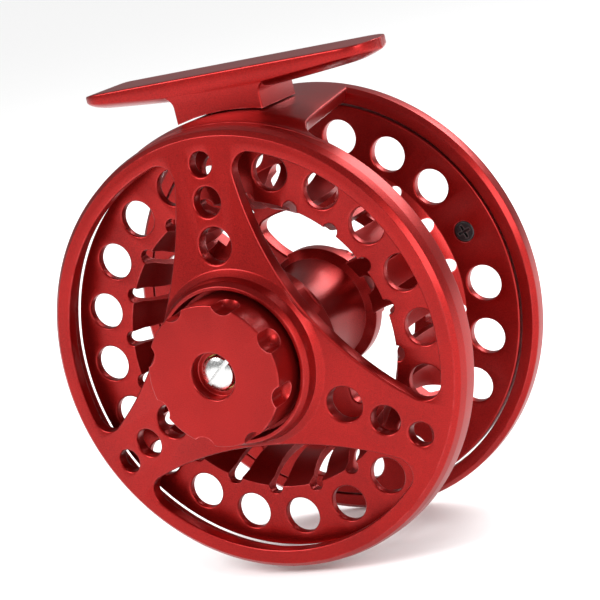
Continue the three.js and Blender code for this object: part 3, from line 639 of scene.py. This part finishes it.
slot = flared(slot_outline, lambda r: SPOOL_BACK, lambda r: SPOOL_FRONT, 0.3)
back_hole = round_hole(HOLE_CIRCLE, HOLE_RADIUS, lambda r: SPOOL_BACK, lambda r: low_face, 0.35)
front_hole = round_hole(HOLE_CIRCLE, HOLE_RADIUS, lambda r: high_face, lambda r: SPOOL_FRONT, 0.35)
seat_hole = round_hole(HOLE_CIRCLE, 1.2, lambda r: high_face, lambda r: SPOOL_FRONT, 0.1)
head_seat = lofted([
    [(u, y, v) for u, v in arc_points((HOLE_CIRCLE, 0), 2.1, 0, 2 * math.pi, 36)[:-1]]
    for y in (high_face - 1, high_face + 1.2)
])
spool_body = combined(
    spool_body, "DIFFERENCE",
    copies(slot, HOLES, HANDLE_ANGLE + PITCH / 2, PITCH),
    copies(back_hole, HOLES, HANDLE_ANGLE, PITCH),
    copies(front_hole, HOLES // 2 - 1, HANDLE_ANGLE + PITCH, PITCH),
    copies(front_hole, HOLES // 2 - 1, HANDLE_ANGLE + 180 + PITCH, PITCH),
    copies(seat_hole, 2, HANDLE_ANGLE, 180),
    copies(head_seat, 2, HANDLE_ANGLE, 180),
)
finished("spool_turned", spool_body, "spool", red_anodised, ["spool"])

# ---------------------------------------------------------------- drag knob
# The drag knob is turned aluminium with eight finger scallops milled into its rear edge. It turns
# in the boss's recess on the threaded spindle, whose bright slotted screw shows in its bore.
KNOB_RADIUS = 13.5
KNOB_BACK = -13.7
KNOB_FRONT = -3.6
SCALLOPS = 8
knob_body = turned(rounded([
    (4.5, KNOB_BACK, 0.35), (KNOB_RADIUS, KNOB_BACK, 0.35), (KNOB_RADIUS, KNOB_FRONT, 0.3), (8, KNOB_FRONT, 0.3),
    (8, -6, 0.1), (5.8, -6, 0), (5.8, -10.3, 0.1), (3.5, -10.3, 0.1), (3.5, -11.1, 0.1), (4.5, -11.1, 0.2),
]), 240)
SCOOP_RADIUS = 2.5
SCOOP_AT = KNOB_RADIUS + SCOOP_RADIUS - 1.3
SCOOP_END = KNOB_BACK + 3
scoop_loops = []
for step in range(13):
    turn = math.pi / 2 * step / 12
    scoop_loops.append((max(0.02, SCOOP_RADIUS * math.cos(turn)), SCOOP_END + SCOOP_RADIUS * math.sin(turn)))
scoop_loops.insert(0, (SCOOP_RADIUS, KNOB_BACK - 1))
scoop = lofted([
    [(SCOOP_AT + r * math.cos(a), y, r * math.sin(a)) for a in [2 * math.pi * i / 40 for i in range(40)]]
    for r, y in scoop_loops
])
knob_body = combined(knob_body, "DIFFERENCE", copies(scoop, SCALLOPS, 360 / SCALLOPS / 2, 360 / SCALLOPS))
finished("drag_knob_turned", knob_body, "drag_knob", red_anodised, ["drag_knob"])

machined_steel = finish_of(
    "machined_steel", dark=(0.5, 0.5, 0.5), light=(0.8, 0.8, 0.79), worn=(0.9, 0.9, 0.9), metallic=1.0,
    roughness=(0.16, 0.34), grain_scale=2600, grain_depth=0.000006, drift_scale=140,
)
SCREW_TOP = -12.2
screw_body = turned([
    (0.001, -4.6), (1.3, -4.6), (1.3, -10.5), (3.3, -10.5), (3.3, -11.4), (3.05, -11.8), (2.4, -12.1), (1.2, -12.25),
    (0.001, -12.3),
], 96)


def slot_bar(length, width, top, bottom, angle):
    """A straight bar across the reel axis, which cuts a screw's slot."""
    turn = math.radians(angle)
    corners = [(-length, -width), (length, -width), (length, width), (-length, width)]
    flat = [(x * math.cos(turn) - z * math.sin(turn), x * math.sin(turn) + z * math.cos(turn)) for x, z in corners]
    return lofted([[(x, y, z) for x, z in flat] for y in (top, bottom)])


screw_body = combined(screw_body, "DIFFERENCE", slot_bar(4, 0.42, SCREW_TOP - 1, SCREW_TOP + 1, 40))
finished("spindle_screw_slotted", screw_body, "frame", machined_steel, ["spindle_screw"])

# ---------------------------------------------------------------- handle
# The handle turns on a steel post that a cross-recess screw clamps to the front flange. Its grip is
# black moulded polymer, held on by a dark screw that sits in the grip's end.
POST_FOOT = SPOOL_FRONT + 0.3
GRIP_START = POST_FOOT + 1.9
GRIP_END = GRIP_START + 21
POST_END = GRIP_END - 3
dark_steel = finish_of(
    "dark_steel", dark=(0.02, 0.02, 0.022), light=(0.07, 0.07, 0.075), worn=(0.3, 0.3, 0.3), metallic=0.9,
    roughness=(0.28, 0.45), grain_scale=3800, grain_depth=0.000006,
)
black_polymer = finish_of(
    "black_polymer", dark=(0.011, 0.011, 0.012), light=(0.028, 0.028, 0.03), worn=(0.06, 0.06, 0.06), metallic=0.0,
    roughness=(0.42, 0.62), grain_scale=2400, grain_depth=0.00003,
)


def on_flange(mesh, angle):
    """A mesh made round the reel axis, moved out to the flange's hole circle at an angle."""
    turn = math.radians(angle)
    mesh.transform(Matrix.Translation((HOLE_CIRCLE * math.cos(turn), 0, HOLE_CIRCLE * math.sin(turn))))
    return mesh


def cross_cut(mesh, face, reach, depth):
    """The mesh with a cross recess cut into its face across the axis, from face - depth to face + depth."""
    bars = [slot_bar(reach, reach * 0.2, face - depth, face + depth, angle) for angle in (20, 110)]
    return combined(mesh, "DIFFERENCE", *bars)


def flange_screw(end):
    """A screw whose head sits in the front flange's rear face."""
    body = turned(rounded([
        (0.001, high_face, 0), (2, high_face, 0.25), (2, high_face + 1.1, 0), (1.1, high_face + 1.1, 0),
        (1.1, end, 0.2), (0.001, end, 0),
    ]), 64)
    return cross_cut(body, high_face, 1.3, 0.8)


post = turned(rounded([
    (1.2, POST_FOOT, 0), (4, POST_FOOT, 0.2), (4, POST_FOOT + 1.2, 0.3), (2, POST_FOOT + 1.6, 0.2), (2, POST_END, 0.2),
    (1.2, POST_END, 0), (1.2, POST_END - 7.5, 0), (0.001, POST_END - 7.5, 0), (0.001, SPOOL_FRONT + 7.5, 0),
    (1.2, SPOOL_FRONT + 7.5, 0),
]), 96)
finished("handle_post_turned", on_flange(post, HANDLE_ANGLE), "spool", machined_steel, ["handle_post"])
finished("handle_screw_crossed", on_flange(flange_screw(SPOOL_FRONT + 7), HANDLE_ANGLE), "spool", dark_steel,
         ["handle_screw"])
grip = turned(rounded([
    (3.1, GRIP_START, 0), (5.2, GRIP_START, 0.3), (5.5, GRIP_START + 0.8, 0.4), (4.7, GRIP_START + 4, 2),
    (4.5, GRIP_START + 7, 2), (5, GRIP_START + 12, 3), (6, GRIP_START + 16.5, 1.6), (6.1, GRIP_START + 18.5, 0.9),
    (5.4, GRIP_END - 0.8, 0.5), (4.6, GRIP_END, 0.4), (3.3, GRIP_END, 0.2), (3.3, GRIP_END - 2.8, 0),
    (3.1, GRIP_END - 2.8, 0),
]), 144)
GROOVE_FLOOR = 4.25
GROOVE_AT = [GRIP_START + 5 + 2.2 * step for step in range(4)]
grooves = [turned([(8, y - 0.35), (GROOVE_FLOOR, y), (8, y + 0.35)], 144) for y in GROOVE_AT]
grip = combined(grip, "DIFFERENCE", *grooves)
finished("handle_grip_moulded", on_flange(grip, HANDLE_ANGLE), "handle_knob", black_polymer, ["handle_knob"])
end_screw = turned(rounded([
    (0.001, POST_END - 7, 0), (1.1, POST_END - 7, 0), (1.1, POST_END + 0.3, 0), (3, POST_END + 0.3, 0.1),
    (3, GRIP_END - 1, 0.2), (2.2, GRIP_END - 0.4, 0.3), (0.001, GRIP_END - 0.4, 0),
]), 96)
end_screw = cross_cut(end_screw, GRIP_END - 0.4, 1.7, 1.2)
finished("handle_end_screw_crossed", on_flange(end_screw, HANDLE_ANGLE), "spool", dark_steel,
         ["handle_end_screw"])

# ---------------------------------------------------------------- counterweight
# A short aluminium button stands across from the handle to balance it. It is turned, dyed red with
# the spool, and held by its own cross-recess screw from inside the flange.
WEIGHT_END = POST_FOOT + 3.6
weight = turned(rounded([
    (1.2, POST_FOOT, 0), (4.3, POST_FOOT, 0.2), (4.3, WEIGHT_END - 0.8, 0.3), (3.5, WEIGHT_END, 0.3),
    (0.001, WEIGHT_END, 0), (0.001, POST_FOOT + 2.6, 0), (1.2, POST_FOOT + 2.6, 0),
]), 96)
finished("counterweight_turned", on_flange(weight, WEIGHT_ANGLE), "spool", red_anodised, ["counterweight"])
finished("counterweight_screw_crossed", on_flange(flange_screw(POST_FOOT + 2.3), WEIGHT_ANGLE), "spool", dark_steel,
         ["counterweight_screw"])

# ---------------------------------------------------------------- spool cap
# The cap at the front screws onto the end of the spindle and keeps the spool on. It is turned
# aluminium with twelve finger flutes milled into its rim.
CAP_RADIUS = 9.9
CAP_BACK = 36.4
CAP_FRONT = CAP_BACK + 4.4
cap = turned(rounded([
    (2.65, 34.3, 0), (3.7, 34.3, 0), (3.7, CAP_BACK, 0.2), (CAP_RADIUS, CAP_BACK, 0.3),
    (CAP_RADIUS, CAP_FRONT - 0.9, 0.4), (CAP_RADIUS - 0.9, CAP_FRONT, 0.4), (6.4, CAP_FRONT, 0.2),
    (5.9, CAP_FRONT - 0.5, 0.3), (0.001, CAP_FRONT - 0.5, 0), (0.001, 40.1, 0), (2.65, 40.1, 0),
]), 192)
flute = lofted([
    [(u, y, v) for u, v in arc_points((CAP_RADIUS + 0.8, 0), 1.3, 0, 2 * math.pi, 32)[:-1]]
    for y in (CAP_BACK - 1, CAP_FRONT + 1)
])
cap = combined(cap, "DIFFERENCE", copies(flute, 12, 0, 30))
finished("spool_cap_fluted", cap, "spool_cap", red_anodised, ["spool_cap"])

# ---------------------------------------------------------------- inside the reel
# The bearings, the drag's washers and rotor, the click and the screws keep their turned and stamped
# shapes, and take the finish of what they are made of.
FINISHES = {
    "red_anodised": red_anodised,
    "steel": machined_steel,
    "dark_steel": dark_steel,
    "black_polymer": black_polymer,
    "brass": finish_of(
        "brass", dark=(0.36, 0.22, 0.06), light=(0.66, 0.46, 0.16), worn=(0.85, 0.68, 0.35), metallic=1.0,
        roughness=(0.22, 0.4), grain_scale=2400, grain_depth=0.000008,
    ),
    "cork": finish_of(
        "cork", dark=(0.2, 0.1, 0.045), light=(0.58, 0.38, 0.2), worn=(0.6, 0.42, 0.24), metallic=0.0,
        roughness=(0.75, 0.95), grain_scale=1100, grain_depth=0.00012,
    ),
    "rubber": finish_of(
        "rubber", dark=(0.008, 0.008, 0.008), light=(0.022, 0.022, 0.022), worn=(0.04, 0.04, 0.04), metallic=0.0,
        roughness=(0.6, 0.8), grain_scale=1800, grain_depth=0.00002,
    ),
}
for subpart in frame["record"]["subparts"]:
    for material_slot in frame["nodes"][subpart["node"]].material_slots:
        material_slot.material = FINISHES[subpart["material_slot"]]

# ---------------------------------------------------------------- light and floor
floor_mesh = bpy.data.meshes.new("floor")
FLOOR_HALF = 3
FLOOR_GAP = 0.0004
floor_z = cad_low.z - FLOOR_GAP
floor_corners = [(-FLOOR_HALF, -FLOOR_HALF), (FLOOR_HALF, -FLOOR_HALF), (FLOOR_HALF, FLOOR_HALF), (-FLOOR_HALF, FLOOR_HALF)]
floor_mesh.from_pydata([(x, y, floor_z) for x, y in floor_corners], [], [(0, 1, 2, 3)])
floor = bpy.data.objects.new("floor", floor_mesh)
bpy.context.scene.collection.objects.link(floor)
floor_material = bpy.data.materials.new("white_paper")
floor_material.use_nodes = True
floor_shader = floor_material.node_tree.nodes["Principled BSDF"]
floor_shader.inputs["Base Color"].default_value = (0.97, 0.97, 0.97, 1)
floor_shader.inputs["Roughness"].default_value = 0.9
floor_mesh.materials.append(floor_material)
world = bpy.data.worlds.new("studio")
bpy.context.scene.world = world
world.use_nodes = True
# The backdrop is plain white, and dimmer where the metal mirrors it
seen = world.node_tree.nodes["Background"]
seen.inputs["Color"].default_value = (1, 1, 1, 1)
path = world.node_tree.nodes.new("ShaderNodeLightPath")
strength = world.node_tree.nodes.new("ShaderNodeMapRange")
strength.inputs["To Min"].default_value = 1
strength.inputs["To Max"].default_value = 0.3
world.node_tree.links.new(path.outputs["Is Glossy Ray"], strength.inputs["Value"])
world.node_tree.links.new(strength.outputs["Result"], seen.inputs["Strength"])


def softbox(name, place, size, power):
    """A square area light that faces the reel."""
    data = bpy.data.lights.new(name, "AREA")
    data.shape = "SQUARE"
    data.size = size
    data.energy = power
    lamp = bpy.data.objects.new(name, data)
    lamp.location = place
    lamp.rotation_mode = "QUATERNION"
    lamp.rotation_quaternion = (AXIS - Vector(place)).to_track_quat("-Z", "Y")
    bpy.context.scene.collection.objects.link(lamp)


softbox("key", (-0.35, -0.55, 0.45), 0.35, 5)
softbox("fill", (0.6, -0.3, 0.15), 0.3, 2.5)
softbox("rim", (0.25, 0.5, 0.4), 0.4, 4)
bpy.context.scene.view_settings.view_transform = "Standard"
